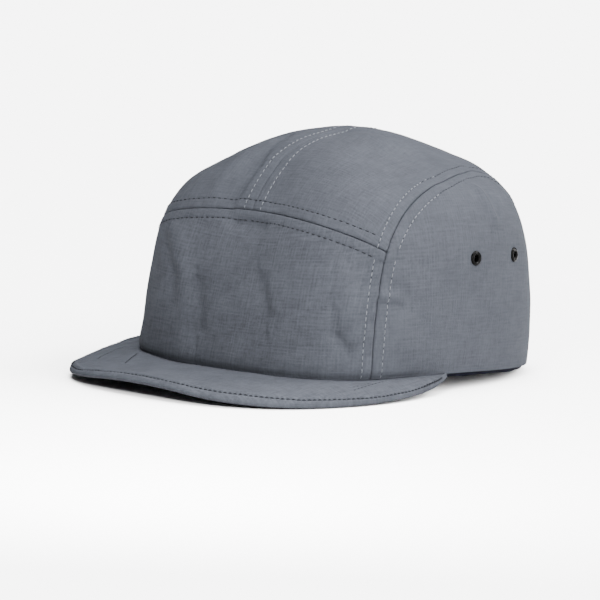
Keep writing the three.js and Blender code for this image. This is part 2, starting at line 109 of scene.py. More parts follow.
# Topstitching: a row on each side of a seam, and the look of its threads
ROW_OFFSET = 5.3
STITCH_PITCH, DASH, THREAD_RADIUS = 3.1, 0.62, 0.25
FOREHEAD_ROW = {"pitch": 3.4, "radius": 0.29}
EDGE_ROW_LOOK = {"pitch": 2.5, "radius": 0.5, "dent": 0.45, "dash": 0.84}
SHORT_ROW_LOOK = {"pitch": 2.6, "radius": 0.36, "dent": 0.36}
STRAP_ROW = {"radius": 0.2, "from_edge": 2.0, "from_end_deg": 0.4}
ROW_START, ROW_END, TANGENT_REACH = 0.5, 0.3, 0.4
THREAD_RINGS, THREAD_SIDES = 5, 6
ARCH_START, ARCH_SPAN, THREAD_TAPER = 0.08, 0.84, 0.5
STITCH_JITTER = {"by": 0.12, "size": 2.2, "seed": 71}
STITCH_PICK = {"by": 0.3, "size": 2.6, "seed": 72}
LIGHT_SINK, DARK_SINK = 0.06, 0.12
DENT = {"radius": 0.28, "long": 1.2, "sink": 0.2, "lift": 0.04, "top": 0.8}
# How many threads of a row get the painted light tone rather than the painted shade tone, from its start to
# its end
ALL_LIGHT, ALL_DARK, LOWER_RIGHT_LIGHT = (1, 1), (0, 0), (0.7, 0.7)
CENTRE_LIGHT = (1, 0.9, 0.5, 0.3, 0.4, 0.6)
UPPER_TOP_LIGHT = (1, 0.8, 0.1, 0, 0, 0.3, 0.6, 0.6)
UPPER_SIDE_LIGHT = (1, 0.9, 0.5, 0, 0, 0.3, 0.6, 0.6)

# Cloth beside a seam: its rounded edge, the welt, the pull of the thread, and the puckers
SEAM_EDGE = 0.7
WELT = {"height": 0.25, "rises": (0.4, 1.4), "falls": (ROW_OFFSET - 0.3, ROW_OFFSET + 1.4)}
PULL = {"deep": 0.34, "width": 0.55, "mean": 0.75, "uneven": 0.45, "size": 17.0, "seed": 40}
STITCH_RISE = {"height": 0.1, "width": 1.6}
PUCKER = {"height": 0.26, "fades": 5.0}
PUCKER_WAVES = [
    {"share": 0.6, "size": 5.4, "lean": 0.0, "seed": 50},
    {"share": 0.4, "size": 2.8, "lean": 0.35, "seed": 60},
]

# Peak
PEAK_HALF_WIDTH, PEAK_LENGTH, PEAK_WIDEST_Y, PEAK_SQUARENESS = 94.0, 120.3, -24.9, 2.73
PEAK_END_DEG, PEAK_END_SLANT_DEG, PEAK_END_SHARE, PEAK_END_SHARPNESS = 78.0, 3.4, 0.14, 18
PEAK_CAMBER, PEAK_BEND, PEAK_GAP = 0.6, 1.6, 0.1
PEAK_EDGE_HEIGHT = [12.5, 3.7, 1.9, 3.2, 5.9, 2.3, 0.2, 0.0, 1.4]
# How far the edge row lies in from the rim, by the place across the peak from its right end to its left end
EDGE_ROW = {
    "across": [-1.0, -0.45, -0.3, -0.2, 0.0, 0.3, 0.5, 0.65, 0.8, 1.0],
    "inset": [1.4, 1.2, 1.8, 3.4, 4.6, 5.2, 4.8, 2.9, 1.8, 1.4],
}
EDGE_ROW_END, EDGE_ROW_ROOM = 0.99, 1.0
# Short rows that run out from the crown: (across, reach) at both ends, and how many millimetres 1 is in each
SHORT_ROWS = [
    {"from": (-0.62, 0.37), "to": (-0.41, 0.66)},
    {"from": (-0.41, 0.17), "to": (-0.235, 0.54)},
    {"from": (0.75, 0.18), "to": (0.674, 0.63)},
    {"from": (0.695, 0.28), "to": (0.658, 0.5)},
]
SHORT_ROW_SCALE = (125.0, 52.0)

# Relief of the peak: its rounded rim, the ditch and the pads on both sides of the edge row, and the waves
RIM = {"round": 2.4, "past_row": 0.4, "power": 2.2, "least": 0.003}
PEAK_FLAT = {"at_rim": (0.3, 2.0), "at_crown": (0.0, 2.5)}
EDGE_RIDGES = [{"height": -0.45, "past": 0.0, "width": 0.7}, {"height": 0.7, "past": 1.9, "width": 1.1}]
RIM_PAD = {"height": 0.25, "place": 0.5, "width": 0.35}
EDGE_PUCKER = {"height": 0.65, "past": 2.5, "width": 3.0, "span": 150.0}
EDGE_WAVES = [
    {"share": 0.6, "size": 5.5, "lean": 0.0, "seed": 21},
    {"share": 0.4, "size": 2.9, "lean": 1.0, "seed": 25},
]
SHORT_RIDGES = [{"height": -0.45, "past": 0.0, "width": 0.7}, {"height": 0.2, "past": 2.0, "width": 1.3}]
PEAK_LUMPS = [
    {"height": 0.24, "size": 12.0, "seed": 22},
    {"height": 0.08, "size": 4.0, "seed": 23},
    {"height": 0.55, "size": 27.0, "seed": 24},
]

# Sweatband, strap, buckle and eyelets
BAND_SHOWS, BAND_HEIGHT, BAND_END_DEG, BAND_EASE = 2.0, 28.0, 24.0, 0.45
BAND_ROUND, BAND_LEAST = 0.7, 0.1
BAND_WOBBLE = {"by": 0.25, "radius": 95, "size": 14.0, "seed": 31}
STRAP_HEIGHT, STRAP_LIFT = 20.0, 1.0
BUCKLE_HALF_DEG, BUCKLE_WALL, BUCKLE_FOOT = 8.0, 1.8, 0.6
BUCKLE_ROUND, BUCKLE_INSIDE_ROUND, BUCKLE_LOW_ROUND, BUCKLE_CORNER_STEPS = 0.7, 0.3, 0.5, 5
EYELETS = [
    {"place": "front", "bearing": 90.4, "out": 0.718},
    {"place": "rear", "bearing": 113.7, "out": 0.71},
]
EYELET_SINK, EYELET_DIP_WIDTH, EYELET_HOLE = 0.35, 4.2, 2.75
EYELET_RIM = {"radius": 2.7, "bulge": 0.95, "height": 0.25}
# Barrel and washer of an eyelet: (radius, height) from under the rim round to the inside
EYELET_BARREL = [(3.4, -0.1), (2.5, -0.1), (2.5, -1.5), (3.3, -1.5), (3.2, -2.1), (1.9, -2.1), (1.75, -1.7)]

# Mesh steps in millimetres: close together along seams, wider in the middle of a panel
COARSER = 1.0
EDGE_STEP, MIDDLE_STEP, EDGE_ZONE, STEP_GROWTH = 0.32, 1.1, 10.0, 1.5
# Width and height of each kind of panel, as its mesh counts them
FRONT_SPAN, TOP_SPAN, SIDE_SPAN = (156, 82), (205, 80), (215, 98)
# Steps inwards from the peak's rim, then even ones for the rest of its reach
RIM_STEPS = [0, 0.1, 0.25, 0.45, 0.7, 1.0, 1.35, 1.7, 2.1, 2.5, 2.9, 3.3]
RIM_STEPS += [3.7, 4.1, 4.5, 4.9, 5.3, 5.7, 6.2, 6.8, 7.5]
PEAK_REACH, PEAK_ROWS, PEAK_COLS = 60.0, 48, 330
BAND_COLS, BAND_ROWS, STRAP_COLS, STRAP_ROWS, BUCKLE_STEPS = 420, 41, 120, 31, 24
WALL_TOP, WALL_STEPS = 0.6, 201
EDGE_PATH_STEPS, SHORT_PATH_STEPS, STRAP_PATH_STEPS = 1500, 60, 160
# Weave of the front and sides: the cloth's size round and up the crown, and how fast it narrows upwards
WEAVE_AROUND, WEAVE_UP, WEAVE_NARROWS, BAND_WEAVE = 88, 112, 0.6, 90


# Curves, noise and distances


def through(values, place, after=None):
    """A smooth curve through even steps of values, read from 0 to 1; after is the value past its end."""
    if after is None:
        after = 2 * values[-1] - values[-2]
    v = np.array([2 * values[0] - values[1], *values, after])
    g = np.clip(place, 0, 1) * (len(values) - 1)
    i = np.minimum(np.floor(g).astype(int), len(values) - 2)
    f = g - i
    m1, m2 = (v[i + 2] - v[i]) / 2, (v[i + 3] - v[i + 1]) / 2
    a, b = 2 * f**3 - 3 * f**2 + 1, f**3 - 2 * f**2 + f
    return a * v[i + 1] + b * m1 + (1 - a) * v[i + 2] + (f**3 - f**2) * m2


def unit(v):
    return v / np.maximum(np.linalg.norm(v, axis=-1, keepdims=True), 1e-12)


def smoothstep(a, b, x):
    t = np.clip((x - a) / (b - a), 0, 1)
    return t * t * (3 - 2 * t)


def bell(x, width):
    return np.exp(-((x / width) ** 2))


HASH_X, HASH_Y, HASH_Z = 73856093, 19349663, 83492791
HASH_SEED, HASH_MIX, HASH_BITS = 2654435761, 1274126177, 0xFFFFFFFF


def noise3(pts, size, seed):
    """Smooth noise from -1 to 1 with lumps of one size, always the same for one seed."""
    g = pts / size
    i = np.floor(g).astype(np.int64)
    f = g - i
    f = f * f * (3 - 2 * f)
    total = 0
    for dx in (0, 1):
        for dy in (0, 1):
            for dz in (0, 1):
                n = (i[..., 0] + dx) * HASH_X ^ (i[..., 1] + dy) * HASH_Y ^ (i[..., 2] + dz) * HASH_Z
                n = (n ^ (seed * HASH_SEED)) & HASH_BITS
                n = ((n ^ (n >> 13)) * HASH_MIX) & HASH_BITS
                h = ((n ^ (n >> 16)) & 0xFFFF) / 32767.5 - 1
                w = np.where(dx, f[..., 0], 1 - f[..., 0]) * np.where(dy, f[..., 1], 1 - f[..., 1])
                total = total + h * w * np.where(dz, f[..., 2], 1 - f[..., 2])
    return total


def noise1(a, size, seed):
    a = np.asarray(a, float)
    return noise3(np.stack([a, a * 0 + 0.37 * size, a * 0 + 0.61 * size], -1), size, seed)


def smooth_curve(points, per=40):
    pts = np.array(points, float)
    ext = np.vstack([2 * pts[0] - pts[1], pts, 2 * pts[-1] - pts[-2]])
    out = []
    f = np.linspace(0, 1, per, endpoint=False)[:, None]
    for i in range(len(pts) - 1):
        x0, x1, x2, x3 = ext[i : i + 4]
        d0, d1, d2 = (np.sqrt(np.linalg.norm(b - a)) for a, b in ((x0, x1), (x1, x2), (x2, x3)))
        t1 = ((x1 - x0) / d0 - (x2 - x0) / (d0 + d1) + (x2 - x1) / d1) * d1
        t2 = ((x2 - x1) / d1 - (x3 - x1) / (d1 + d2) + (x3 - x2) / d2) * d1
        second, third = -3 * x1 + 3 * x2 - 2 * t1 - t2, 2 * x1 - 2 * x2 + t1 + t2
        out.append(x1 + t1 * f + second * f**2 + third * f**3)
    out.append(pts[-1:])
    return np.vstack(out)


def arc(points):
    return np.concatenate([[0], np.cumsum(np.linalg.norm(np.diff(points, axis=0), axis=1))])


def at_share(points, share):
    a = arc(points)
    return np.stack([np.interp(share, a / a[-1], points[:, k]) for k in range(points.shape[1])], -1)


def nearest(pts, line, along):
    """Distance from each point to a line of points, and how far along the line that is."""
    flat = pts.reshape(-1, 3)
    d, s = np.empty(len(flat)), np.empty(len(flat))
    for k in range(0, len(flat), 4000):
        q = flat[k : k + 4000]
        d2 = (q**2).sum(1)[:, None] + (line**2).sum(1)[None] - 2 * q @ line.T
        i = np.clip(d2.argmin(1), 1, len(line) - 2)
        best = None
        for lo in (i - 1, i):
            v = line[lo + 1] - line[lo]
            t = np.clip(((q - line[lo]) * v).sum(1) / (v * v).sum(1), 0, 1)
            dist = np.linalg.norm(q - line[lo] - v * t[:, None], axis=1)
            place = along[lo] + t * (along[lo + 1] - along[lo])
            if best is None:
                best = (dist, place)
            else:
                closer = dist < best[0]
                best = (np.where(closer, dist, best[0]), np.where(closer, place, best[1]))
        d[k : k + 4000], s[k : k + 4000] = best
    return d.reshape(pts.shape[:-1]), s.reshape(pts.shape[:-1])


def spaced(length):
    """Shares from 0 to 1 along a length, close together near both ends."""
    places, d = [], 0.0
    while d < length / 2:
        places.append(d)
        d += COARSER * (EDGE_STEP + (MIDDLE_STEP - EDGE_STEP) * min(1.0, d / EDGE_ZONE) ** STEP_GROWTH)
    places = np.array(places)
    return np.concatenate([places, length - places[::-1]]) / length


# Crown: a point for each bearing and place outwards, and the flat map that the seams are drawn on


def blend(bearing, front, side, rear):
    c = np.cos(bearing)
    return side + (np.where(c > 0, front, rear) - side) * c * c


def hem_radius(bearing):
    c = np.cos(bearing)
    reach = np.where(c > 0, HEM_FRONT, HEM_REAR)
    n = np.where(c > 0, FRONT_SQUARENESS, REAR_SQUARENESS)
    return (np.abs(np.sin(bearing) / HEM_HALF_WIDTH) ** n + np.abs(c / reach) ** n) ** (-1 / n)


def crown(bearing, out):
    share = 1 - out
    climb = share * math.pi / 2
    full = blend(bearing, *(through(column, share, column[-2]) for column in FULLNESS.values()))
    wide, high = np.cos(climb) * full, np.sin(climb) * full
    radius = hem_radius(bearing) * wide
    wave = blend(bearing, HEM_WAVE["front"], HEM_WAVE["side"], HEM_WAVE["rear"])
    y = -radius * np.cos(bearing) - HEM_REAR
    z = wave * (1 - high) + CROWN_HEIGHT * high
    c, s = math.cos(TIP_BACK), math.sin(TIP_BACK)
    return np.stack([radius * np.sin(bearing), HEM_REAR + y * c + z * s, -y * s + z * c + REAR_HEM_LIFT], -1)


def map_point(bearing_deg, out):
    b = np.radians(bearing_deg)
    return np.stack([out * np.sin(b), -out * np.cos(b)], -1)


def on_map(m):
    return crown(np.arctan2(m[..., 0], -m[..., 1]), np.hypot(m[..., 0], m[..., 1]))


def slopes(m, e=0.004):
    dp, dq = np.array([e, 0.0]), np.array([0.0, e])
    return (on_map(m + dp) - on_map(m - dp)) / (2 * e), (on_map(m + dq) - on_map(m - dq)) / (2 * e)


def normal_at(m):
    a, b = slopes(m)
    return unit(np.cross(a, b))


def flip(m):
    return m * np.array([-1.0, 1.0])


# Seams


def opening_edge(off_deg):
    off = np.asarray(off_deg, float)
    rise = OPENING_RISE * np.sqrt(np.maximum(0, 1 - (off / OPENING_HALF_DEG) ** 2))
    return map_point(180 - off, 1 - rise)


def forehead(place):
    bearing = CORNER["bearing"] * (2 * np.asarray(place, float) - 1)
    droop = np.abs(bearing / CORNER["bearing"]) ** FOREHEAD_DROOP
    return map_point(bearing, FOREHEAD_OUT + (CORNER["out"] - FOREHEAD_OUT) * droop)


def centre(place):
    place = np.asarray(place, float)
    return np.stack([place * 0, -FOREHEAD_OUT + place * (FOREHEAD_OUT + 1 - OPENING_RISE)], -1)


corner_row = next(i for i, (_, out) in enumerate(SIDE_SEAM) if out < CORNER["out"])
corner_point = map_point(CORNER["bearing"], CORNER["out"])
seam_points = [map_point(*place) for place in SIDE_SEAM]
LOWER_SEAM = smooth_curve(seam_points[:corner_row] + [corner_point])
UPPER_SEAM = smooth_curve([corner_point] + seam_points[corner_row:] + [opening_edge(OPENING_SEAM_DEG)])


def seam(line, deep):
    """A seam as even steps of about a millimetre, on the map and in space."""
    along = arc(on_map(line))
    even = np.linspace(0, along[-1], int(along[-1]) + 2)
    m = np.stack([np.interp(even, along, line[:, k]) for k in (0, 1)], -1)
    p = on_map(m)
    return {"map": m, "at": p, "along": arc(p), "deep": deep}


whole = np.linspace(0, 1, 200)
SEAMS = {
    "forehead": seam(forehead(whole), 1.2),
    "centre": seam(centre(whole), 0.45),
    "lower_left": seam(LOWER_SEAM, 1.0),
    "lower_right": seam(flip(LOWER_SEAM), 1.0),
    "upper_left": seam(UPPER_SEAM, 1.0),
    "upper_right": seam(flip(UPPER_SEAM), 1.0),
}


# Relief: how far the cloth stands out from the smooth crown


def fold_height(base, rows):
    total = np.zeros(base.shape[:-1])
    for start, end, (right_width, left_width), height in rows:
        a, b = on_map(map_point(*start)), on_map(map_point(*end))
        t = np.clip(((base - a) @ (b - a)) / ((b - a) @ (b - a)), 0, 1)
        off = base - a - t[..., None] * (b - a)
        left = off @ np.cross(normal_at(map_point(*start)), b - a) > 0
        total += height * bell(np.linalg.norm(off, axis=-1), np.where(left, left_width, right_width))
    return total


def waves(along, away, rows, seed=0):
    """Waves along a line, which may lean with the distance from it."""
    return sum(w["share"] * noise1(along + w["lean"] * away, w["size"], w["seed"] + seed) for w in rows)


def seam_height(base, line, seed):
    d, along = nearest(base, line["at"], line["along"])
    inside = np.clip(d / SEAM_EDGE, 0, 1)
    h = -line["deep"] * (1 - np.sqrt(1 - (1 - inside) ** 2))
    h = h + WELT["height"] * smoothstep(*WELT["rises"], d) * (1 - smoothstep(*WELT["falls"], d))
    pull = PULL["mean"] + PULL["uneven"] * noise1(along, PULL["size"], PULL["seed"] + seed)
    h = h - PULL["deep"] * pull * bell(d - ROW_OFFSET, PULL["width"])
    stitch = 0.5 - 0.5 * np.cos(2 * math.pi * along / STITCH_PITCH)
    h = h + STITCH_RISE["height"] * stitch * bell(d - ROW_OFFSET, STITCH_RISE["width"])
    reach = np.where(d < ROW_OFFSET, 0.5 + 0.5 * d / ROW_OFFSET, np.exp(-(d - ROW_OFFSET) / PUCKER["fades"]))
    return h + PUCKER["height"] * waves(along, d, PUCKER_WAVES, seed) * reach


def near_front(bearing, row):
    return np.clip((row["half_deg"] - bearing) / row["fade_deg"], 0, 1)


def relief(m, base):
    bearing = np.abs(np.degrees(np.arctan2(m[..., 0], -m[..., 1])))
    out = np.hypot(m[..., 0], m[..., 1])
    h = fold_height(base, FOLDS) + fold_height(base, CREASES)
    rolled = bell(out - FRONT_ROLL["out"], FRONT_ROLL["spread"]) * near_front(bearing, FRONT_ROLL)
    h = h + FRONT_ROLL["stand"] * rolled
    tucked = 1 - smoothstep(FRONT_TUCK["half_deg"] - FRONT_TUCK["fade_deg"], FRONT_TUCK["half_deg"], bearing)
    h = h - FRONT_TUCK["deep"] * bell(1 - out, FRONT_TUCK["spread"]) * tucked
    for seed, line in enumerate(SEAMS.values()):
        h = h + seam_height(base, line, seed)
    low_front = near_front(bearing, FRONT_SOFT) * smoothstep(*FRONT_SOFT["starts"], out)
    soft = 1 + FRONT_SOFT["extra"] * (low_front * (1 - smoothstep(*FRONT_SOFT["ends"], out)))
    for row in LUMPS:
        lumps = noise3(base * np.array([1, 1, row["upright"]]), row["size"], row["seed"])
        h = h + row["height"] * (soft if row["soft"] else 1) * lumps
    return h


def cloth(m):
    base, n = on_map(m), normal_at(m)
    return base + n * relief(m, base)[..., None], n


# Meshes


def grid_faces(rows, cols, offset, turned):
    j, i = np.meshgrid(np.arange(rows - 1), np.arange(cols - 1), indexing="ij")
    a = (offset + j * cols + i).ravel()
    f = np.stack([a, a + 1, a + cols + 1, a + cols], -1)
    return f[:, ::-1] if turned else f


def slab(outer, inner, uv):
    """A closed sheet between two grids of points, in the piece's first material."""
    rows, cols = outer.shape[:2]
    n, top = rows * cols, (rows - 1) * cols
    i, j = np.arange(cols - 1), np.arange(rows - 1) * cols
    e = j + cols - 1
    faces = [
        grid_faces(rows, cols, 0, False),
        grid_faces(rows, cols, n, True),
        np.stack([i, n + i, n + i + 1, i + 1], -1),
        np.stack([top + i + 1, n + top + i + 1, n + top + i, top + i], -1),
        np.stack([j + cols, n + j + cols, n + j, j], -1),
        np.stack([e, n + e, n + e + cols, e + cols], -1),
    ]
    verts = np.concatenate([outer.reshape(-1, 3), inner.reshape(-1, 3)])
    both_uv = np.concatenate([uv.reshape(-1, 2)] * 2)
    return {"verts": verts, "faces": np.vstack(faces), "material": 0, "uv": both_uv}


def part(verts, faces, material):
    verts = verts.reshape(-1, 3)
    return {"verts": verts, "faces": faces, "material": material, "uv": verts[:, :2] + verts[:, 2:]}


def make_object(name, parts, node, materials, sharp_deg=40):
    offsets = np.cumsum([0] + [len(p["verts"]) for p in parts])
    verts = np.vstack([p["verts"] for p in parts])
    faces = np.vstack([p["faces"] + o for p, o in zip(parts, offsets)])
    uvs = np.vstack([p["uv"] for p in parts])
    numbers = np.concatenate([np.full(len(p["faces"]), p["material"]) for p in parts])
    mesh = bpy.data.meshes.new(name)
    mesh.vertices.add(len(verts))
    mesh.vertices.foreach_set("co", ((verts + ORIGIN_SHIFT) / 1000).astype(np.float32).ravel())
    mesh.loops.add(faces.size)
    mesh.loops.foreach_set("vertex_index", faces.astype(np.int32).ravel())
    mesh.polygons.add(len(faces))
    mesh.polygons.foreach_set("loop_start", (np.arange(len(faces)) * 4).astype(np.int32))
    mesh.polygons.foreach_set("material_index", numbers.astype(np.int32))
    mesh.update(calc_edges=True)
    layer = mesh.uv_layers.new(name="cloth")
    layer.data.foreach_set("uv", uvs[faces.ravel()].astype(np.float32).ravel())
    mesh.polygons.foreach_set("use_smooth", np.ones(len(faces), bool))
    mesh.set_sharp_from_angle(angle=math.radians(sharp_deg))
    for m in materials:
        mesh.materials.append(m)
    obj = bpy.data.objects.new(name, mesh)
    bpy.context.scene.collection.objects.link(obj)
    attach(obj, "root")
    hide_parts(node)
    return obj


def cloth_uv(surface):
    """Millimetres along and across the cloth, counted from the middle of the piece."""
    u = np.cumsum(np.linalg.norm(np.diff(surface, axis=1, prepend=surface[:, :1]), axis=-1), 1)
    v = np.cumsum(np.linalg.norm(np.diff(surface, axis=0, prepend=surface[:1]), axis=-1), 0)
    return np.stack([u - u[:, u.shape[1] // 2, None], v - v[None, v.shape[0] // 2]], -1)


# Stitches: each a small arched thread whose ends dip into the cloth, with a dark oval of painted shade for
# the needle dent at each end


def along_path(path, normals, where):
    a = arc(path)
    point = np.stack([np.interp(where, a, path[:, k]) for k in range(3)], -1)
    ahead = np.stack([np.interp(where + TANGENT_REACH, a, path[:, k]) for k in range(3)], -1)
    behind = np.stack([np.interp(where - TANGENT_REACH, a, path[:, k]) for k in range(3)], -1)
    n = unit(np.stack([np.interp(where, a, normals[:, k]) for k in range(3)], -1))
    t = unit(ahead - behind)
    return point, t, n, unit(np.cross(n, t))


def thread_part(path, normals, starts, length, radius, sink, material):
    rings, sides = THREAD_RINGS, THREAD_SIDES
    f = np.linspace(0, 1, rings)
    point, t, n, b = along_path(path, normals, starts[:, None] + f[None] * length)
    lift = (radius * np.sin(np.pi * (ARCH_START + ARCH_SPAN * f)) - sink)[None, :, None]
    size = (radius * (THREAD_TAPER + (1 - THREAD_TAPER) * np.sin(np.pi * f)))[None, :, None, None]
    turn = np.linspace(0, 2 * np.pi, sides, endpoint=False)[None, None, :, None]
    spoke = np.cos(turn) * b[:, :, None] + np.sin(turn) * n[:, :, None]
    verts = (point + n * lift)[:, :, None] + spoke * size
    r, s = np.meshgrid(np.arange(rings - 1), np.arange(sides), indexing="ij")
    near, far = r * sides, (r + 1) * sides
    quad = np.stack([near + s, near + (s + 1) % sides, far + (s + 1) % sides, far + s], -1).reshape(1, -1, 4)
    faces = (np.arange(len(starts))[:, None, None] * rings * sides + quad).reshape(-1, 4)
    return part(verts, faces, material)


def dent_part(path, normals, where, radius):
    """Dark ovals, hardly above the cloth: painted shade of the needle dents."""
    point, t, n, b = along_path(path, normals, where)
    turn = np.linspace(0, 2 * np.pi, 8, endpoint=False)[None, :, None]
    rim = np.cos(turn) * t[:, None] * radius * DENT["long"] + np.sin(turn) * b[:, None] * radius
    foot, top = (point - n * DENT["sink"])[:, None], (point + n * DENT["lift"])[:, None]
    verts = np.concatenate([foot + rim, top + rim * DENT["top"]], 1)
    i = np.arange(8)
    side = np.stack([i, (i + 1) % 8, (i + 1) % 8 + 8, i + 8], -1)
    top_cap = np.array([[8, 9, 10, 11], [8, 11, 12, 15], [12, 13, 14, 15]])
    foot_cap = np.array([[3, 2, 1, 0], [7, 4, 3, 0], [7, 6, 5, 4]])
    one = np.vstack([side, top_cap, foot_cap])
    faces = (np.arange(len(where))[:, None, None] * 16 + one[None]).reshape(-1, 4)
    return part(verts, faces, DENT_SLOT)


# Material slots of the sewing: thread with painted light, thread with painted shade, needle dents with
# painted shade
LIGHT_SLOT, DARK_SLOT, DENT_SLOT = 1, 2, 3


def stitch_row(
    path, normals, light, pitch=STITCH_PITCH, radius=THREAD_RADIUS, dent=DENT["radius"], dash=DASH
):
    total = arc(path)[-1]
    starts = np.arange(ROW_START, total - pitch * dash - ROW_END, pitch)
    if len(starts) < 2:
        return []
    starts = starts + STITCH_JITTER["by"] * noise1(starts, STITCH_JITTER["size"], STITCH_JITTER["seed"])
    share = np.interp(starts / total, np.linspace(0, 1, len(light)), light)
    lit = share + STITCH_PICK["by"] * noise1(starts, STITCH_PICK["size"], STITCH_PICK["seed"]) > 0.5
    parts = []
    for chosen, slot, sink in ((lit, LIGHT_SLOT, LIGHT_SINK), (~lit, DARK_SLOT, DARK_SINK)):
        if chosen.any():
            parts.append(thread_part(path, normals, starts[chosen], pitch * dash, radius, sink, slot))
    middles = starts[:-1] + pitch * (1 + dash) / 2
    parts.append(dent_part(path, normals, middles, dent))
    return parts


def beside(line_map, side):
    """The line on the map that runs beside another at the distance of a topstitch row."""
    m = line_map.copy()
    steps = 4
    for _ in range(steps):
        t = unit(np.gradient(on_map(m), axis=0))
        a, b = slopes(m)
        want = np.cross(unit(np.cross(a, b)), t) * side * ROW_OFFSET / steps
        aa, ab, bb = (a * a).sum(-1), (a * b).sum(-1), (b * b).sum(-1)
        wa, wb = (want * a).sum(-1), (want * b).sum(-1)
        m = m + np.stack([wa * bb - wb * ab, wb * aa - wa * ab], -1) / (aa * bb - ab * ab)[..., None]
    return m


def rows_beside(name, side, share, light, **look):
    m = beside(SEAMS[name]["map"], side)
    keep = slice(int(share[0] * len(m)), int(share[1] * len(m)) + 1)
    return stitch_row(*cloth(m[keep]), light, **look)


# Materials


CLOTH_TINT, THREAD_TINT = (0.89, 0.96, 1.15), (0.92, 0.98, 1.1)
NAVY_TINT, NO_TINT = (0.8, 0.9, 1.8), (1, 1, 1)
# Layers of the weave: noise per millimetre along and across the cloth, and their shares in tone and relief
WEAVE = [
    {"per_u": 0.11, "per_v": 1.1, "seed": 1.3, "detail": 2.0, "tone": 3.2, "relief": 1.0},
    {"per_u": 1.1, "per_v": 0.11, "seed": 7.9, "detail": 2.0, "tone": 3.6, "relief": 1.0},
    {"per_u": 0.06, "per_v": 0.06, "seed": 3.1, "detail": 2.0, "tone": 2.0, "relief": 0.0},
    {"per_u": 0.8, "per_v": 0.8, "seed": 5.7, "detail": 1.0, "tone": 2.4, "relief": 0.8},
]
GRID = {"sharpness": 4.0, "tone": 0.5, "relief": 0.25}
DARKENING = 0.35
CLOTH_ROUGHNESS, CLOTH_SPECULAR, BUMP_STRENGTH = 0.9, 0.02, 0.7
GRAIN = {"detail": 2.0, "tone": 0.9, "roughness": 0.3}


def tinted(level, tint=CLOTH_TINT):
    return tuple(level * c for c in tint) + (1.0,)


def node_material(name):
    mat = bpy.data.materials.new(name)
    mat.use_nodes = True
    return mat, mat.node_tree, mat.node_tree.nodes["Principled BSDF"]


def math_node(nt, op, *values):
    n = nt.nodes.new("ShaderNodeMath")
    n.operation = op
    for k, v in enumerate(values):
        if hasattr(v, "is_output"):
            nt.links.new(v, n.inputs[k])
        else:
            n.inputs[k].default_value = v
    return n.outputs[0]


def noise_node(nt, place, scale, detail):
    """Noise about zero, from -0.5 to 0.5."""
    n = nt.nodes.new("ShaderNodeTexNoise")
    n.inputs["Scale"].default_value = scale
    n.inputs["Detail"].default_value = detail
    nt.links.new(place, n.inputs["Vector"])
    return math_node(nt, "SUBTRACT", n.outputs[0], 0.5)


def mottle(nt, u, v, row):
    """Noise with its own scale along and across the cloth."""
    place = nt.nodes.new("ShaderNodeCombineXYZ")
    nt.links.new(math_node(nt, "MULTIPLY", u, row["per_u"]), place.inputs[0])
    nt.links.new(math_node(nt, "MULTIPLY", v, row["per_v"]), place.inputs[1])
    place.inputs[2].default_value = row["seed"]
    return noise_node(nt, place.outputs[0], 1.0, row["detail"])


def ripstop_lines(nt, x, grid):
    wave = math_node(nt, "SINE", math_node(nt, "MULTIPLY", x, 2 * math.pi / grid))
    return math_node(nt, "POWER", math_node(nt, "MULTIPLY_ADD", wave, 0.5, 0.5), GRID["sharpness"])


def weighted(nt, layers, key):
    total = 0.0
    for socket, row in layers:
        total = math_node(nt, "MULTIPLY_ADD", socket, row[key], total)
    return total


def colour_and_bump(nt, bsdf, colour, tone, height, bump):
    """The colour times a tone, and a bump of so many millimetres."""
    mix = nt.nodes.new("ShaderNodeVectorMath")
    mix.operation = "SCALE"
    mix.inputs[0].default_value = colour[:3]
    nt.links.new(tone, mix.inputs[3])
    nt.links.new(mix.outputs[0], bsdf.inputs["Base Color"])
    b = nt.nodes.new("ShaderNodeBump")
    b.inputs["Strength"].default_value = BUMP_STRENGTH
    b.inputs["Distance"].default_value = bump / 1000
    nt.links.new(height, b.inputs["Height"])
    nt.links.new(b.outputs[0], bsdf.inputs["Normal"])


def woven(name, colour, contrast, grid=1.5, bump=0.12):
    """Ripstop cloth: a fine square grid, with slubs along both threads, in the cloth's own millimetres."""
    mat, nt, bsdf = node_material(name)
    uv = nt.nodes.new("ShaderNodeUVMap")
    uv.uv_map = "cloth"
    split = nt.nodes.new("ShaderNodeSeparateXYZ")
    nt.links.new(uv.outputs[0], split.inputs[0])
    u, v = split.outputs[0], split.outputs[1]
    lines = math_node(nt, "MAXIMUM", ripstop_lines(nt, u, grid), ripstop_lines(nt, v, grid))
    layers = [(mottle(nt, u, v, row), row) for row in WEAVE] + [(lines, GRID)]
    tone = math_node(nt, "MULTIPLY_ADD", weighted(nt, layers, "tone"), contrast, 1.0 - DARKENING * contrast)
    colour_and_bump(nt, bsdf, colour, tone, weighted(nt, layers, "relief"), bump)
    bsdf.inputs["Roughness"].default_value = CLOTH_ROUGHNESS
    bsdf.inputs["Specular IOR Level"].default_value = CLOTH_SPECULAR
    return mat


def grained(name, colour, rough, specular, lump, bump):
    """Thread, metal or plastic: a little uneven in colour, gloss and height, with lumps in millimetres."""
    mat, nt, bsdf = node_material(name)
    place = nt.nodes.new("ShaderNodeTexCoord").outputs["Object"]
    uneven = noise_node(nt, place, 1000 / lump, GRAIN["detail"])
    tone = math_node(nt, "MULTIPLY_ADD", uneven, GRAIN["tone"], 1.0)
    colour_and_bump(nt, bsdf, colour, tone, uneven, bump)
    nt.links.new(math_node(nt, "MULTIPLY_ADD", uneven, GRAIN["roughness"], rough), bsdf.inputs["Roughness"])
    bsdf.inputs["Specular IOR Level"].default_value = specular
    return mat


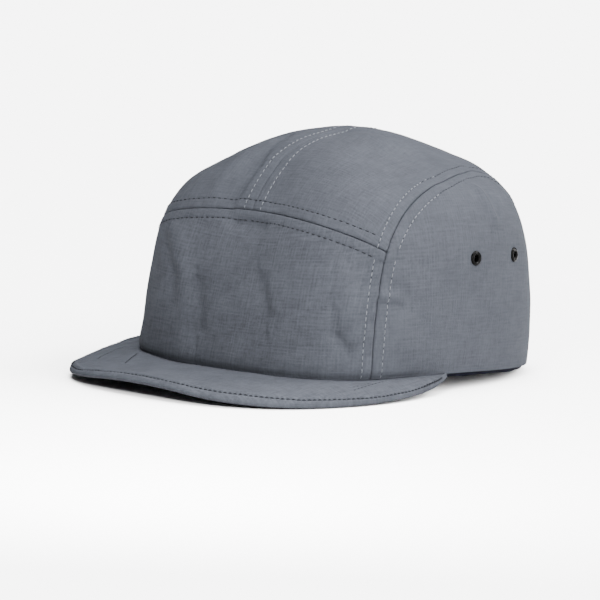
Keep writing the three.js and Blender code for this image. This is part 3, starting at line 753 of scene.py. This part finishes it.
CLOTH_TONE, STRAP_TONE, NAVY_TONE = 0.0193, 0.0193 * 0.85, 0.002
SHELL = woven("shell cloth", tinted(CLOTH_TONE), contrast=0.125)
FRONT_CLOTH = woven("front cloth", tinted(CLOTH_TONE), contrast=0.16, bump=0.15)
PEAK_CLOTH = woven("peak cloth", tinted(CLOTH_TONE), contrast=0.17)
NAVY = woven("sweatband cloth", tinted(NAVY_TONE, NAVY_TINT), contrast=0.14, grid=0.9)
STRAP_CLOTH = woven("strap cloth", tinted(STRAP_TONE), contrast=0.14, grid=0.9)
FIBRES = {"lump": 0.4, "bump": 0.04}
# One grey thread in two tones: the light copy is the thread's own slightly lighter grey plus painted light,
# the near-black copy is painted shade
THREAD = grained("thread in the light", tinted(0.05, THREAD_TINT), rough=0.6, specular=0.05, **FIBRES)
SHADED_THREAD = grained("thread in the shade", tinted(0.0055), rough=0.8, specular=0.02, **FIBRES)
# Painted shade: the needle dents' shadow as a near-black colour on small ovals
DENT_SHADE = grained("needle dent", tinted(0.003), rough=0.85, specular=0.01, **FIBRES)
METAL = grained("eyelet black", tinted(0.001, NO_TINT), rough=0.14, specular=0.016, lump=0.9, bump=0.012)
PLASTIC = grained("buckle plastic", tinted(0.002, NO_TINT), rough=0.38, specular=0.05, lump=0.5, bump=0.05)
SEWING = [THREAD, SHADED_THREAD, DENT_SHADE]


# Panels of the crown


def panel_map(low, high, start, end, s, t):
    corners = low(0.0), low(1.0), high(0.0), high(1.0)
    at_low, at_high, at_start, at_end = low(s), high(s), start(t), end(t)
    s, t = s[..., None], t[..., None]
    edges = (1 - t) * at_low + t * at_high + (1 - s) * at_start + s * at_end
    first, last = (1 - t) * corners[0] + t * corners[2], (1 - t) * corners[1] + t * corners[3]
    return edges - ((1 - s) * first + s * last)


def panel(low, high, start, end, span, middle_deg=None, holes=()):
    """A panel between four lines, with its weave level round middle_deg, or else along the panel."""
    m = panel_map(low, high, start, end, *np.meshgrid(spaced(span[0]), spaced(span[1])))
    base, n = on_map(m), normal_at(m)
    h = relief(m, base)
    for place in holes:
        h = h - EYELET_SINK * bell(np.linalg.norm(base - place, axis=-1), EYELET_DIP_WIDTH)
    outer, inner = base + n * h[..., None], base + n * (h - FABRIC)[..., None]
    if middle_deg is None:
        return slab(outer, inner, cloth_uv(base))
    climb = (1 - np.hypot(m[..., 0], m[..., 1])) * math.pi / 2
    turn = np.arctan2(m[..., 0], -m[..., 1]) - math.radians(middle_deg)
    around = turn * WEAVE_AROUND * np.cos(climb) ** WEAVE_NARROWS
    return slab(outer, inner, np.stack([around, climb * WEAVE_UP], -1))


def punched(sheet, places):
    """The sheet without its faces inside round holes, which the eyelets' rims cover."""
    middles = sheet["verts"][sheet["faces"]].mean(1)
    keep = np.all([np.linalg.norm(middles - place, axis=1) > EYELET_HOLE for place in places], axis=0)
    return {**sheet, "faces": sheet["faces"][keep]}


def hem_line(from_deg, to_deg):
    def line(s):
        s = np.asarray(s, float)
        return map_point(from_deg + (to_deg - from_deg) * s, 1.0 + 0 * s)

    return line


def backwards(line):
    return lambda s: line(1 - np.asarray(s, float))


def lower_seam(t):
    return at_share(LOWER_SEAM, t)


def upper_seam(t):
    return at_share(UPPER_SEAM, t)


def build_front():
    hem = hem_line(-HEM_SEAM_DEG, HEM_SEAM_DEG)
    parts = [panel(hem, forehead, lambda t: flip(lower_seam(t)), lower_seam, FRONT_SPAN, 0)]
    parts += rows_beside("forehead", 1, (0.05, 0.95), ALL_DARK, **FOREHEAD_ROW)
    parts += rows_beside("lower_left", 1, (0.0, 0.93), ALL_LIGHT)
    parts += rows_beside("lower_right", -1, (0.0, 0.93), LOWER_RIGHT_LIGHT)
    make_object("front_panel_cloth", parts, "front_panel", [FRONT_CLOTH, *SEWING])


def build_side_of_crown(word, side):
    def turned(line):
        return line if side > 0 else lambda s: flip(line(s))

    fore = turned(lambda t: forehead(0.5 + 0.5 * np.asarray(t, float)))
    rear = turned(lambda t: opening_edge(OPENING_SEAM_DEG * np.asarray(t, float)))
    middle, outside = turned(centre), turned(upper_seam)
    if side > 0:
        parts = [panel(outside, middle, backwards(fore), backwards(rear), TOP_SPAN)]
        forehead_share = (0.5, 0.97)
    else:
        parts = [panel(middle, outside, fore, rear, TOP_SPAN)]
        forehead_share = (0.03, 0.5)
    parts += rows_beside("centre", -side, (0.0, 0.985), CENTRE_LIGHT)
    parts += rows_beside("upper_" + word, -side, (0.02, 0.97), UPPER_TOP_LIGHT)
    parts += rows_beside("forehead", -1, forehead_share, ALL_DARK, **FOREHEAD_ROW)
    make_object("top_panel_" + word + "_cloth", parts, "top_panel_" + word, [SHELL, *SEWING])

    rear_deg = 180 - OPENING_HALF_DEG
    below, front = turned(hem_line(HEM_SEAM_DEG, rear_deg)), turned(lower_seam)
    back_deg = OPENING_SEAM_DEG - OPENING_HALF_DEG
    back_edge = turned(lambda t: opening_edge(OPENING_HALF_DEG + back_deg * np.asarray(t, float)))
    places = [on_map(map_point(side * row["bearing"], row["out"])) for row in EYELETS]
    if side > 0:
        sheet = panel(below, outside, front, back_edge, SIDE_SPAN, 90, places)
    else:
        sheet = panel(backwards(below), backwards(outside), back_edge, front, SIDE_SPAN, -90, places)
    parts = [punched(sheet, places)]
    parts += rows_beside("lower_" + word, -side, (0.0, 0.97), ALL_LIGHT)
    parts += rows_beside("upper_" + word, side, (0.0, 0.97), UPPER_SIDE_LIGHT)
    make_object("side_panel_" + word + "_cloth", parts, "side_panel_" + word, [SHELL, *SEWING])


# Eyelets: rolled metal rings with a short barrel and a washer behind


def turned_ring(profile, origin, east, north, n, turns=40):
    turn = np.linspace(0, 2 * np.pi, turns, endpoint=False)[:, None]
    r, h = np.array(profile).T
    spoke = np.cos(turn) * east + np.sin(turn) * north
    verts = origin + spoke[:, None] * r[None, :, None] + n * h[None, :, None]
    k = len(profile)
    i, j = np.meshgrid(np.arange(turns), np.arange(k), indexing="ij")
    near, far = i * k, (i + 1) % turns * k
    faces = np.stack([near + j, near + (j + 1) % k, far + (j + 1) % k, far + j], -1).reshape(-1, 4)
    return part(verts, faces, 0)


def build_eyelets(word, side):
    middle, bulge, height = EYELET_RIM["radius"], EYELET_RIM["bulge"], EYELET_RIM["height"]
    rim = [(middle - bulge * math.cos(a), height + bulge * math.sin(a)) for a in np.linspace(0, np.pi, 12)]
    for row in EYELETS:
        point, n = cloth(map_point(side * row["bearing"], row["out"])[None])
        n = n[0]
        east = unit(np.cross(np.array([0, 0, 1.0]), n))
        ring = turned_ring(rim + EYELET_BARREL, point[0] - n * EYELET_SINK, east, np.cross(n, east), n)
        node = "eyelet_" + word + "_" + row["place"]
        make_object(node + "_ring", [ring], node, [METAL], sharp_deg=60)


# Peak


def outwards(bearing):
    """The level direction away from the crown at the hem."""
    return unit(normal_at(map_point(np.degrees(bearing), 1.0)) * np.array([1.0, 1.0, 0.0]))


def hem_at(bearing, inwards, up):
    rise = np.asarray(up)[..., None] * np.array([0, 0, 1.0])
    hem = on_map(map_point(np.degrees(bearing), 1.0))
    return hem - outwards(bearing) * np.asarray(inwards)[..., None] + rise


def peak_edge(turn):
    power = 2 / PEAK_SQUARENESS
    x = PEAK_HALF_WIDTH * np.sign(turn) * np.abs(np.sin(turn)) ** power
    y = PEAK_WIDEST_Y - PEAK_LENGTH * np.abs(np.cos(turn)) ** power
    return np.stack([x, y, through(PEAK_EDGE_HEIGHT, 0.5 + turn / np.pi)], -1)


def peak_low(u, v, slant_deg):
    """The underside, and how far it reaches from the hem to the rim at each place across."""
    further = np.sign(u) * np.abs(u) ** PEAK_END_SHARPNESS
    bearing = math.radians(PEAK_END_DEG) * u + math.radians(slant_deg) * further
    joint = hem_at(bearing, FABRIC + 0 * u, -PEAK_GAP - PEAK + 0 * u)
    corner = np.maximum(PEAK_END_SHARE, np.sqrt(1 - np.abs(u) ** PEAK_END_SHARPNESS))
    edge = peak_edge(u * np.pi / 2)
    reach = v * corner
    p = joint + (edge - joint) * reach[..., None]
    p[..., 2] = joint[..., 2] + (edge[..., 2] - joint[..., 2]) * reach**PEAK_BEND
    p[..., 2] += PEAK_CAMBER * 4 * v * (1 - v) * corner
    return p, np.linalg.norm((edge - joint)[..., :2], axis=-1) * corner


def edge_row_inset(u):
    return np.interp(u, EDGE_ROW["across"], EDGE_ROW["inset"])


def short_row_distance(u, v, row):
    scale = np.array(SHORT_ROW_SCALE)
    a, b = np.array(row["from"]) * scale, np.array(row["to"]) * scale
    p = np.stack([u * scale[0], v * scale[1]], -1)
    t = np.clip(((p - a) @ (b - a)) / ((b - a) @ (b - a)), 0, 1)
    return np.linalg.norm(p - a - t[..., None] * (b - a), axis=-1)


def ridges(away, rows):
    return sum(r["height"] * bell(away - r["past"], r["width"]) for r in rows)


def peak_sheet(u, v):
    """The peak's top and underside at places across and outwards, and its reach at each place across."""
    low, full = peak_low(u, v, 0.0)
    high, _ = peak_low(u, v, PEAK_END_SLANT_DEG)
    rim = (1 - v) * full
    inset = edge_row_inset(u)
    roll = np.clip(rim / np.minimum(RIM["round"], inset + RIM["past_row"]), 0, 1)
    half = PEAK / 2 * np.sqrt(np.clip(1 - (1 - roll) ** RIM["power"], RIM["least"], 1))
    body = smoothstep(*PEAK_FLAT["at_rim"], rim) * smoothstep(*PEAK_FLAT["at_crown"], v * full)
    h = ridges(rim - inset, EDGE_RIDGES)
    h = h + RIM_PAD["height"] * bell(rim - inset * RIM_PAD["place"], inset * RIM_PAD["width"])
    puckered = waves(u * EDGE_PUCKER["span"], rim, EDGE_WAVES)
    h = h + ridges(rim - inset, [EDGE_PUCKER]) * puckered
    for row in SHORT_ROWS:
        h = h + ridges(short_row_distance(u, v, row), SHORT_RIDGES)
    for row in PEAK_LUMPS:
        h = h + row["height"] * noise3(high, row["size"], row["seed"])
    top = high.copy()
    top[..., 2] += PEAK / 2 + half + h * body
    low[..., 2] += PEAK / 2 - half
    return top, low, full


def peak_path(u, v):
    path = peak_sheet(u, v)[0]
    normals = np.tile(np.array([0.0, 0.0, 1.0]), (len(u), 1))
    keep = np.concatenate([[True], np.linalg.norm(np.diff(path, axis=0), axis=1) > 1e-4])
    return path[keep], normals[keep]


def build_peak():
    rim_places = 1 - np.array(RIM_STEPS) / PEAK_REACH
    inner_places = np.linspace(rim_places[-1], 0, int(PEAK_ROWS / COARSER))[1:]
    across = np.linspace(-1, 1, int(PEAK_COLS / COARSER))
    top, low, _ = peak_sheet(*np.meshgrid(across, np.concatenate([rim_places, inner_places])))
    parts = [slab(top, low, top[..., :2])]
    across = np.linspace(-EDGE_ROW_END, EDGE_ROW_END, EDGE_PATH_STEPS)
    full = peak_sheet(across, across * 0)[2]
    inset = edge_row_inset(across)
    ok = full > inset + EDGE_ROW_ROOM
    path, normals = peak_path(across[ok], (1 - inset / full)[ok])
    parts += stitch_row(path, normals, ALL_DARK, **EDGE_ROW_LOOK)
    for row in SHORT_ROWS:
        t = np.linspace(0, 1, SHORT_PATH_STEPS)
        places = np.array(row["from"]) * (1 - t[:, None]) + np.array(row["to"]) * t[:, None]
        parts += stitch_row(*peak_path(places[:, 0], places[:, 1]), ALL_DARK, **SHORT_ROW_LOOK)
    make_object("peak_cloth", parts, "peak", [PEAK_CLOTH, *SEWING])


# Sweatband, strap and buckle


def band_lean(bearing, h):
    """How far the crown's wall has come inwards of its hem at a height above the band's lower edge."""
    outs = np.linspace(1, WALL_TOP, WALL_STEPS)
    wall = crown(bearing[..., None] + 0 * outs, outs)
    foot, n = wall[..., 0, :], outwards(bearing)
    k = np.argmax(wall[..., 2] >= foot[..., 2:3] + h - BAND_SHOWS, axis=-1)
    hit = np.take_along_axis(wall, k[..., None, None], -2)[..., 0, :]
    return np.maximum(0, ((foot - hit) * n).sum(-1)) + np.maximum(0, -fold_height(hit, FOLDS)) + BAND_EASE


def upright_band(from_deg, to_deg, cols, bottom, height, rows, wobble):
    b, h = np.meshgrid(np.radians(np.linspace(from_deg, to_deg, cols)), np.linspace(0, height, rows))
    lean = np.stack([band_lean(b[j], h[j, 0]) for j in range(rows)])
    uneven = noise1(b * BAND_WOBBLE["radius"], BAND_WOBBLE["size"], BAND_WOBBLE["seed"])
    lift = wobble * uneven * (1 - h / height)
    middle = hem_at(b, FABRIC + GAP + lean + BAND / 2, bottom + h + lift)
    from_edge = np.clip(np.minimum(h, height - h) / BAND_ROUND, 0, 1)
    half = BAND / 2 * np.sqrt(np.clip(1 - (1 - from_edge) ** 2, BAND_LEAST, 1))[..., None] * outwards(b)
    return slab(middle + half, middle - half, np.stack([b * BAND_WEAVE, h], -1))


def build_band_and_strap():
    end = 180 - BAND_END_DEG
    cols = int(BAND_COLS / COARSER)
    band = upright_band(-end, end, cols, -BAND_SHOWS, BAND_HEIGHT, BAND_ROWS, BAND_WOBBLE["by"])
    make_object("sweatband_cloth", [band], "sweatband", [NAVY])
    start = end + math.degrees(GAP / HEM_REAR)
    bottom = STRAP_LIFT - BAND_SHOWS
    parts = [upright_band(start, 360 - start, STRAP_COLS, bottom, STRAP_HEIGHT, STRAP_ROWS, 0.0)]
    for h in (STRAP_ROW["from_edge"], STRAP_HEIGHT - STRAP_ROW["from_edge"]):
        first = start + STRAP_ROW["from_end_deg"]
        b = np.radians(np.linspace(first, 360 - first, STRAP_PATH_STEPS))
        path = hem_at(b, FABRIC + GAP + band_lean(b, h), bottom + h + 0 * b)
        parts += stitch_row(path, outwards(b), ALL_LIGHT, radius=STRAP_ROW["radius"])
    make_object("back_strap_cloth", parts, "back_strap", [STRAP_CLOTH, *SEWING])


def rounded_box(d0, d1, h0, h1, r):
    low = min(r, BUCKLE_LOW_ROUND)
    corners = [
        (d1 - r, h0 + low, -90, low),
        (d1 - r, h1 - r, 0, r),
        (d0 + r, h1 - r, 90, r),
        (d0 + r, h0 + low, 180, low),
    ]
    turn = np.radians(np.linspace(0, 90, BUCKLE_CORNER_STEPS))
    loops = [
        np.stack([cd + r * np.cos(turn + math.radians(a)), ch + rh * np.sin(turn + math.radians(a))], -1)
        for cd, ch, a, rh in corners
    ]
    return np.vstack(loops)


def build_buckle():
    bottom = STRAP_LIFT - BAND_SHOWS
    near, far = FABRIC, FABRIC + GAP + BAND + GAP
    low, high = bottom - GAP, bottom + STRAP_HEIGHT + GAP
    wall, foot = BUCKLE_WALL, BUCKLE_FOOT
    outside = rounded_box(near - wall, far + wall, low - foot, high + wall, BUCKLE_ROUND)
    inside = rounded_box(near, far, low, high, BUCKLE_INSIDE_ROUND)
    count = len(outside)
    section = np.concatenate([outside, inside])
    rings = []
    for b in np.radians(180 + np.linspace(-BUCKLE_HALF_DEG, BUCKLE_HALF_DEG, BUCKLE_STEPS + 1)):
        lean = np.array([band_lean(np.array([b]), max(0.0, h - bottom))[0] for h in section[:, 1]])
        rings.append(hem_at(np.full(2 * count, b), section[:, 0] + lean, section[:, 1]))
    verts = np.vstack(rings)
    j = np.arange(count)
    k = (j + 1) % count
    faces = []
    for station in range(BUCKLE_STEPS):
        a, c = 2 * count * station, 2 * count * (station + 1)
        faces.append(np.stack([a + k, c + k, c + j, a + j], -1))
        faces.append(np.stack([c + count + j, c + count + k, a + count + k, a + count + j], -1))
    z = 2 * count * BUCKLE_STEPS
    faces.append(np.stack([count + j, count + k, k, j], -1))
    faces.append(np.stack([z + k, z + count + k, z + count + j, z + j], -1))
    loop = part(verts, np.vstack(faces), 0)
    make_object("strap_buckle_loop", [loop], "strap_buckle", [PLASTIC], sharp_deg=35)


build_front()
for word, side in (("left", 1), ("right", -1)):
    build_side_of_crown(word, side)
    build_eyelets(word, side)
build_peak()
build_band_and_strap()
build_buckle()


# Studio: a pale floor under soft lights from above, from the right and from behind, and a small one in front
FLOOR_HALF, FLOOR_TONE, FLOOR_ROUGHNESS, FLOOR_DROP = 30.0, 0.66, 0.95, 0.0002
KEY = {"towards": (0.9, 0.1, 0.42), "strength": 33.5, "tightness": 16.0}
BACK = {"towards": (0.36, 0.68, 0.64), "strength": 103.0, "tightness": 40.0}
OVERHEAD = {"towards": (0.0, 0.0, 1.0), "strength": 91.0, "tightness": 30.0}
FILL = 0.11
NEAR_LIGHT = {"place": (0.24, -0.33, 0.21), "aim": (0.0, -0.05, 0.06), "size": 0.14, "power": 5.7}


def build_floor():
    mesh = bpy.data.meshes.new("floor")
    r = FLOOR_HALF
    mesh.from_pydata([(-r, -r, 0), (r, -r, 0), (r, r, 0), (-r, r, 0)], [], [(0, 1, 2, 3)])
    paint, _, bsdf = node_material("floor paint")
    bsdf.inputs["Base Color"].default_value = tinted(FLOOR_TONE, NO_TINT)
    bsdf.inputs["Roughness"].default_value = FLOOR_ROUGHNESS
    bsdf.inputs["Specular IOR Level"].default_value = 0.0
    mesh.materials.append(paint)
    floor = bpy.data.objects.new("floor", mesh)
    floor.location.z = -FLOOR_DROP
    bpy.context.scene.collection.objects.link(floor)


def soft_box(nt, direction, box, so_far):
    dot = nt.nodes.new("ShaderNodeVectorMath")
    dot.operation = "DOT_PRODUCT"
    nt.links.new(direction, dot.inputs[0])
    dot.inputs[1].default_value = Vector(box["towards"]).normalized()
    facing = math_node(nt, "MAXIMUM", dot.outputs["Value"], 0.0)
    share = math_node(nt, "POWER", facing, box["tightness"])
    return math_node(nt, "MULTIPLY_ADD", share, box["strength"], so_far)


def build_light():
    world = bpy.data.worlds.new("studio")
    bpy.context.scene.world = world
    world.use_nodes = True
    nt = world.node_tree
    direction = nt.nodes.new("ShaderNodeTexCoord").outputs["Generated"]
    level = FILL
    for box in (OVERHEAD, KEY, BACK):
        level = soft_box(nt, direction, box, level)
    nt.links.new(level, nt.nodes["Background"].inputs["Strength"])
    nt.nodes["Background"].inputs["Color"].default_value = (1, 1, 1, 1)

    data = bpy.data.lights.new("near light", "AREA")
    data.shape = "DISK"
    data.size = NEAR_LIGHT["size"]
    data.energy = NEAR_LIGHT["power"]
    lamp = bpy.data.objects.new("near light", data)
    lamp.location = NEAR_LIGHT["place"]
    aim = Vector(NEAR_LIGHT["aim"]) - lamp.location
    lamp.rotation_euler = aim.to_track_quat("-Z", "Y").to_euler()
    lamp.visible_camera = False
    bpy.context.scene.collection.objects.link(lamp)


# Camera: where the photo was taken from, in degrees and metres, and where its target lies in the photo
CAMERA = {"azimuth": 42.267, "climb": 6.355, "roll": -1.538, "distance": 1.6, "target": (0, 0.022679, 0.0531)}
PHOTO_PX, PX_PER_MM, TARGET_PX, SENSOR_MM, FAR_CLIP = 600, 1.9786, (343.71, 265.22), 36, 100


def build_camera():
    az, up_angle, roll = (math.radians(CAMERA[k]) for k in ("azimuth", "climb", "roll"))
    away = Vector((math.sin(az) * math.cos(up_angle), -math.cos(az) * math.cos(up_angle), math.sin(up_angle)))
    right = Vector((math.cos(az), math.sin(az), 0))
    up = away.cross(right)
    axes = (right * math.cos(roll) - up * math.sin(roll), right * math.sin(roll) + up * math.cos(roll), away)
    data = bpy.data.cameras.new("camera")
    cam = bpy.data.objects.new("camera", data)
    place = Matrix(axes).transposed().to_4x4()
    place.translation = Vector(CAMERA["target"]) + away * CAMERA["distance"]
    cam.matrix_world = place
    data.sensor_width = SENSOR_MM
    data.lens = PX_PER_MM * 1000 * CAMERA["distance"] / PHOTO_PX * data.sensor_width
    data.shift_x = (PHOTO_PX / 2 - TARGET_PX[0]) / PHOTO_PX
    data.shift_y = (TARGET_PX[1] - PHOTO_PX / 2) / PHOTO_PX
    data.clip_end = FAR_CLIP
    bpy.context.scene.collection.objects.link(cam)
    bpy.context.scene.camera = cam


build_floor()
build_light()
build_camera()
